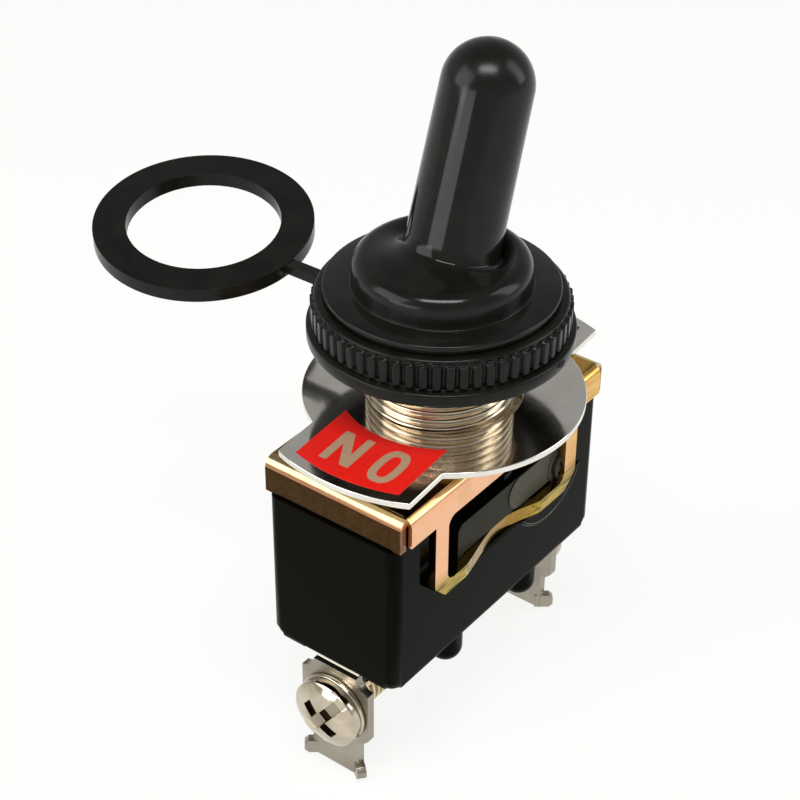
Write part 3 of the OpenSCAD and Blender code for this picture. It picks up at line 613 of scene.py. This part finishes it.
# %% Sealed boot
def boot_rings(count=96, steps=12):
    rings = []
    for radius, z, lean in boot_outline():
        up = FRAME_TOP + z - PIVOT.z
        centre = PIVOT + (Z * up).lerp(LEVER * (up / math.cos(LEAN)), lean)
        rings.append(ring(centre, X.lerp(LEVER_X, lean).normalized(), Y, radius, count))

    tip, tip_radius = 16.7, 3.64
    sleeve = [(3.62, 3.93), (3.75, 3.90), (3.95, 3.84), (4.6, 3.79), (8, 3.75), (12, 3.70), (15, 3.66),
              (tip, tip_radius)]
    cap = [(tip + (tip_radius - 0.01) * math.sin(a), tip_radius * math.cos(a) + 0.01)
           for a in (math.radians(90 * step / steps) for step in range(1, steps + 1))]
    inside = [(19.55, 0.01), (19.5, 0.6), (19.3, 1.3), (18.4, 2.4), (tip, 2.88), (10, 2.88), (2.6, 2.9)]
    rings += [ring(PIVOT + LEVER * along, LEVER_X, Y, radius, count)
              for along, radius in sleeve + cap + inside]
    # the dome's underside closes the skin
    rings.append(ring(Z * (FRAME_TOP + 12.95) + X * 0.4, X, Y, 4.2, count))
    rings.append(ring(Z * (FRAME_TOP + 12.9), X, Y, 6.1, count))
    return rings


boot = skin("sealed_boot", boot_rings(), rubber, closed_tube=True)
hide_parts("boot")
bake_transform(boot)
print("boot faces", len(boot.data.polygons))

# %% [markdown]
# ## Spring
# A coil spring keeps its shape but not its length. It rides on the plunger.

# %% Plunger spring
coil = add("coil_spring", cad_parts["plunger_spring"].data.copy(), screw_steel)
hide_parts("plunger_spring")
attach(coil, "follower")
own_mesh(coil)

# %% [markdown]
# ## Ring nut
# The ring nut is moulded round a brass insert. Its grip is a row of rounded bars with arched ends, between
# a smooth shoulder and a flange. A sheet of rings does this well: the radius at each angle and height is
# the root plus the bar's own height there. The loose seal ring hangs on a strip, and keeps its solid with
# softened edges.

# %% Knurled ring nut
BARS, BAR_LOW, BAR_HIGH = 62, 8.6, 10.82       # number of bars, and where they end, in mm above the frame
ROOT, BAR_HEIGHT = 9.92, 0.38


def smooth(value):
    value = min(1, max(0, value))
    return value * value * (3 - 2 * value)


def grip(turn, z):
    """Height, from 0 to 1, of the bar at an angle in turns and a height in mm above the frame."""
    across = turn * BARS + 0.08
    aside = abs(across - round(across))
    random.seed(round(across) % BARS)
    tall, lower, upper = (random.uniform(-1, 1) for _ in range(3))
    arch = 0.32 * (aside / 0.4) ** 2
    ends = min(smooth((z - BAR_LOW - arch - 0.04 * lower) / 0.14),
               smooth((BAR_HIGH - arch + 0.05 * upper - z) / 0.14))
    return (0.93 + 0.07 * tall) * smooth((0.42 - aside) / 0.16) * ends


def nut_rings(per_bar=12):
    count = BARS * per_bar
    flange = [(6.35, 7.4), (10.5, 7.4), (10.62, 7.44), (10.65, 7.55), (10.65, 8.32), (10.61, 8.44),
              (10.5, 8.5), (9.98, 8.52)]
    shoulder = [(9.94, 10.9), (10.02, 10.94), (10.0, 11.06), (9.86, 11.17), (9.7, 11.2), (6.35, 11.2)]
    # rings lie close together where the bars end, and far apart between
    levels = [8.56 + 0.06 * i for i in range(9)] + [9.4, 9.8, 10.15] + [10.36 + 0.06 * i for i in range(9)]
    bars = [ring(Z * (FRAME_TOP + z), X, Y, lambda turn, z=z: ROOT + BAR_HEIGHT * grip(turn, z), count)
            for z in levels]
    return turned(flange, count, FRAME_TOP) + bars + turned(shoulder, count, FRAME_TOP)


nut = skin("ring_nut", nut_rings(), nut_plastic, "base", closed_tube=True)
seal = softened("collar", nut_plastic, 0.14, beyond=10.3)
seal.name = "seal_ring"
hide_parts("collar")
print("ring nut faces", len(nut.data.polygons))

# %% [markdown]
# ## Marks of the tools
# A moulding keeps traces of its tool: two fine lines round the boss over the contact chamber, the rings of
# a moulded eye beside it, and a torn gate on the ring nut's flange. The lines and the gate are thin beads
# that sink into the surface at their ends, and the eye is turned from its outline.

# %% Mould lines
def bead(name, path, thick, finish, count=8):
    """A bead along a path of points; `thick` is its radius as a function of the place from 0 to 1."""
    rings = []
    for i, point in enumerate(path):
        along = (path[min(i + 1, len(path) - 1)] - path[max(i - 1, 0)]).normalized()
        side = along.cross(Y if abs(along.y) < 0.9 else Z).normalized()
        rings.append(ring(point, side, along.cross(side), thick(i / (len(path) - 1)), count))
    return skin(name, rings, finish, "base")


BOSS_X, BOSS_Z = 6.9, FRAME_TOP - 7.2
BOSS_START, BOSS_END = math.radians(-139), math.radians(-25)


def boss_line(y, radius, steps=40):
    """An arc round the boss, at a distance y from the middle."""
    angles = [BOSS_START + (BOSS_END - BOSS_START) * i / steps for i in range(steps + 1)]
    return [Vector((BOSS_X + radius * math.cos(a), y, BOSS_Z + radius * math.sin(a))) for a in angles]


# The beads are coloured lighter than the housing, a painted glint along each line round the boss.
glint = dark_moulding("moulding_edge_glint", (0.05, 0.05, 0.042), 0.5, 0.3, 0.3, 0.004, 0.3).material
FACES = {"front": -1, "rear": 1}
for face, side in FACES.items():
    for label, radius, lift in (("outer", 5.32, 0.09), ("inner", 5.1, 0.18)):
        bead(f"boss_{label}_{face}", boss_line(side * (BODY_SIDE + lift), radius),
             lambda place: 0.012 + 0.03 * smooth(min(place, 1 - place) * 8), glint)
print("mould lines laid")

# %% Moulded eye and gate
EYE = Vector((8.95, 0, FRAME_TOP - 8.12))
EYE_OUTLINE = [(1.32, 6.2), (1.32, 6.62), (1.26, 6.69), (1.04, 6.72), (0.97, 6.66), (0.93, 6.5), (0.85, 6.5),
               (0.8, 6.66), (0.72, 6.7), (0.44, 6.64), (0.36, 6.5), (0.22, 6.36), (0.02, 6.34)]
eye_finish = dark_moulding("moulding_eye", (0.03, 0.03, 0.022), 0.2, 0.28, 0.3, 0.004, 0.2).material
for face, side in FACES.items():
    skin(f"eye_{face}", [ring(EYE + Y * side * y, X, Z * -side, radius, 48) for radius, y in EYE_OUTLINE],
         eye_finish, "base")

GATE_RADIUS, GATE_Z, GATE_START = 10.62, FRAME_TOP + 8.05, -88
gate = [Vector((GATE_RADIUS * math.cos(a), GATE_RADIUS * math.sin(a), GATE_Z + 0.12 * math.sin(a * 40)))
        for a in (math.radians(GATE_START + 0.9 * i) for i in range(9))]
bead("gate_mark", gate, lambda place: 0.05 + 0.22 * math.sin(math.pi * place) ** 0.6, nut_plastic)
print("eye and gate laid")

# %% [markdown]
# ## Label
# The two enamel fields end in arcs round the bushing, and the plate has turned a little on it. Each field
# and each letter is an outline that is raised by a few hundredths of a millimetre, as printed enamel is.

# %% Raised outlines
SLIDE, BEARING = 0.35, math.radians(-41)       # how far and where to the plate has slipped off the axis
PLATE = (Matrix.Translation((SLIDE * math.cos(BEARING), SLIDE * math.sin(BEARING), 0))
         @ Matrix.Rotation(math.radians(3.9), 4, "Z"))


def raised(name, outlines, low, high, finish):
    """Walls and lids of one outline, or of an outer and an inner one with the same number of points."""
    work = bmesh.new()
    levels = []
    for outline in outlines:
        line = [PLATE @ Vector((x, y, 0)) for x, y in outline]
        levels.append([[work.verts.new((p.x * MM, p.y * MM, z * MM)) for p in line] for z in (low, high)])
    for bottom, top in levels:
        for i in range(len(top)):
            work.faces.new((bottom[i - 1], bottom[i], top[i], top[i - 1]))
    if len(levels) == 1:
        work.faces.new(levels[0][1])
        work.faces.new(levels[0][0][::-1])
    else:
        for outer, inner in zip(*levels):
            for i in range(len(outer)):
                work.faces.new((outer[i - 1], outer[i], inner[i], inner[i - 1]))
    bmesh.ops.recalc_face_normals(work, faces=work.faces)
    mesh = bpy.data.meshes.new(name)
    work.to_mesh(mesh)
    work.free()
    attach(add(name, mesh, finish), "base")


def field(side, half=4.75, inner=8.45, outer=14.55, steps=24):
    """A field between two arcs, on the side given by -1 or 1."""
    def arc(radius):
        end = math.asin(half / radius)
        return [(side * radius * math.cos(a), radius * math.sin(a))
                for a in (end - 2 * end * i / steps for i in range(steps + 1))]
    return arc(inner) + arc(outer)[::-1]


raised("red_field", [field(-1)], -0.02, 0.03, red_enamel)
raised("black_field", [field(1)], -0.02, 0.03, black_enamel)
print("fields laid")

# %% [markdown]
# ## Letters
# ON and OFF are drawn from strokes of one width with round corners, as an engraver's stencil gives them.
# Both words are read from the same side, with their tops towards the ON end.

# %% Outlines of the letters
def oval(width, height, power=2.6, count=48):
    """An ellipse filled out towards its corners; a power of 2 would be a plain one."""
    return [(math.copysign(abs(math.cos(a)) ** (2 / power), math.cos(a)) * width / 2,
             math.copysign(abs(math.sin(a)) ** (2 / power), math.sin(a)) * height / 2)
            for a in (math.tau * i / count for i in range(count))]


def rounded_outline(points, radius=0.12, steps=4):
    """Cuts each corner with a small arc."""
    out = []
    for i, corner in enumerate(points):
        here, before, after = Vector(corner), Vector(points[i - 1]), Vector(points[(i + 1) % len(points)])
        start = here + (before - here).normalized() * radius
        end = here + (after - here).normalized() * radius
        for k in range(steps + 1):
            t = k / steps
            out.append(tuple(start * (1 - t) ** 2 + here * 2 * t * (1 - t) + end * t ** 2))
    return out


def letter_outlines(letter, wide, tall, stroke):
    w, h, s = wide / 2, tall / 2, stroke
    if letter == "O":
        return [oval(wide, tall), oval(wide - 2 * s, tall - 2.2 * s)]
    if letter == "N":
        return [rounded_outline([(-w, -h), (-w + s, -h), (-w + s, h - 2.1 * s), (w - s * 1.15, -h), (w, -h),
                                 (w, h), (w - s, h), (w - s, -h + 2.1 * s), (-w + s * 1.15, h), (-w, h)])]
    return [rounded_outline([(-w, -h), (-w + s, -h), (-w + s, -s * 0.6), (w * 0.7, -s * 0.6),
                             (w * 0.7, s * 0.4), (-w + s, s * 0.4), (-w + s, h - s), (w, h - s), (w, h),
                             (-w, h)])]


print("letters can be drawn")

# %% Letters of the two positions
def word(name, letters):
    """Each letter comes with its middle in X and Y, its width, height and stroke."""
    for i, (letter, x, y, wide, tall, stroke) in enumerate(letters):
        outlines = [[(x - v, y + u) for u, v in line] for line in letter_outlines(letter, wide, tall, stroke)]
        raised(f"{name}_{i}", outlines, 0.0, 0.045, letter_grey)


word("on_letter", [("O", -11.35, -2.24, 2.35, 4.3, 0.66), ("N", -11.25, 1.68, 2.75, 3.9, 0.72)])
word("off_letter", [("O", 11.3, -2.9, 2.2, 4.0, 0.62), ("F", 11.3, 0.1, 2.0, 3.7, 0.62),
                    ("F", 11.3, 3.0, 2.0, 3.7, 0.62)])
print("letters laid")

# %% [markdown]
# ## Screw threads
# The terminal screws show their ends behind the terminals. A threaded sleeve over each plain shank gives it
# the rolled thread; it turns with the screw and tapers off at the screw's end.

# %% Rolled threads
UNDER_STRAP = 13.05      # where the thread comes out of the terminal, in mm from the middle


def screw_thread(name, side, body, count=40):
    """`side` is -1 or 1, the end of the housing where the screw sits."""
    pitch, core, flare, depth = 0.6, 1.48, 0.3, 0.3
    rings, x = [], UNDER_STRAP
    while x > screw_inner + 0.1:
        full = min(1, (x - screw_inner) / 0.7)
        rings.append(ring(Vector((side * x, 0, SCREW_Z)), Y, Z, lambda turn, x=x, full=full:
                          core + flare * full - groove(x / pitch - turn, depth), count))
        x -= pitch / 8
    skin(name, rings, warm_brass, body)


screw_thread("thread_common", -1, "screw_common_body")
screw_thread("thread_switched", 1, "screw_switched_body")
print("threads rolled from", UNDER_STRAP, "to", screw_inner, "mm")

# %% [markdown]
# ## Floor and sky
# A pale floor lies just under the terminals. It glows a little for the rays that show the background, so
# that it reads as white paper while the lamps stay at a plain level. The room is paler low down than
# overhead, the same for every ray.

# %% Floor and sky
def glow(graph, plain, share, colour):
    """Mixes a shader with an even glow, for rays that show the background."""
    camera_ray, glossy_ray, clear_ray = (graph.node("LightPath", {}, {}, f"Is {kind} Ray")
                                         for kind in ("Camera", "Glossy", "Transmission"))
    shows = camera_ray.math("MAXIMUM", glossy_ray).math("MAXIMUM", clear_ray)
    bright = graph.node("Emission", {}, {"Color": colour})
    return graph.node("MixShader", {}, {0: shows * share, 1: plain, 2: bright})


def floor(height, size=3.0):
    """A square sheet of paper at a height, both in metres."""
    paper = Finish("paper", Roughness=0.9, Specular_IOR_Level=0.1)
    paper.set(Base_Color=paper.blend(paper.noise(40, detail=2), (0.86, 0.86, 0.84), (0.84, 0.84, 0.82)))
    lit = glow(paper, Wave(paper, paper.shader.outputs[0]), 0.85, (1.0, 1.0, 0.985))
    paper.plug(paper.nodes["Material Output"].inputs["Surface"], lit)
    mesh = bpy.data.meshes.new("floor")
    mesh.from_pydata([(x * size, y * size, height) for x, y in ((-1, -1), (1, -1), (1, 1), (-1, 1))], [],
                     [(0, 1, 2, 3)])
    add("floor", mesh, paper.material)


def sky(horizon, zenith):
    world = bpy.data.worlds.new("studio")
    bpy.context.scene.world = world
    world.use_nodes = True
    room = Graph(world.node_tree)
    height = room.node("SeparateXYZ", {}, {"Vector": room.node("TexCoord", {}, {}, "Generated")}, "Z")
    shade = room.node("MapRange", {}, {"Value": height, "To Min": horizon, "To Max": zenith})
    room.plug(room.nodes["Background"].inputs["Color"], shade)


floor(cad_box[0][2] - 0.4 * MM)
sky(horizon=0.62, zenith=0.15)
print("floor at", round(cad_box[0][2] / MM, 2), "mm")

# %% [markdown]
# ## Lamps
# Black plastic shows only what it mirrors, so each lamp is a soft rectangle whose reflection draws one
# form. The key stands behind on the left and lights the frame's bend and the ring nut. A low strip beside
# it makes the long streak on the sleeve. A side lamp edges the right, and a narrow one overhead rounds the
# dome and the tip.

# %% Lamps
LAMP_DISTANCE = 0.42      # metres from the origin


def lamp(name, azimuth, elevation, width, height, watts):
    """A soft rectangle that faces the origin, its width and height in metres."""
    data = bpy.data.lights.new(name, "AREA")
    data.shape, data.size, data.size_y, data.energy = "RECTANGLE", width, height, watts
    light = bpy.data.objects.new(name, data)
    light.location = toward(azimuth, elevation) * LAMP_DISTANCE
    light.rotation_euler = toward(azimuth, elevation).to_track_quat("Z", "Y").to_euler()
    bpy.context.scene.collection.objects.link(light)


lamp("key", -124, 29, 0.30, 0.28, 0.8)
lamp("strip", -99, 6.5, 0.27, 0.125, 0.34)
lamp("side", 40, 30, 0.16, 0.34, 0.5)
lamp("top", -55, 66, 0.26, 0.10, 1.3)
bpy.context.scene.view_settings.view_transform = "Standard"
print("lamps set")
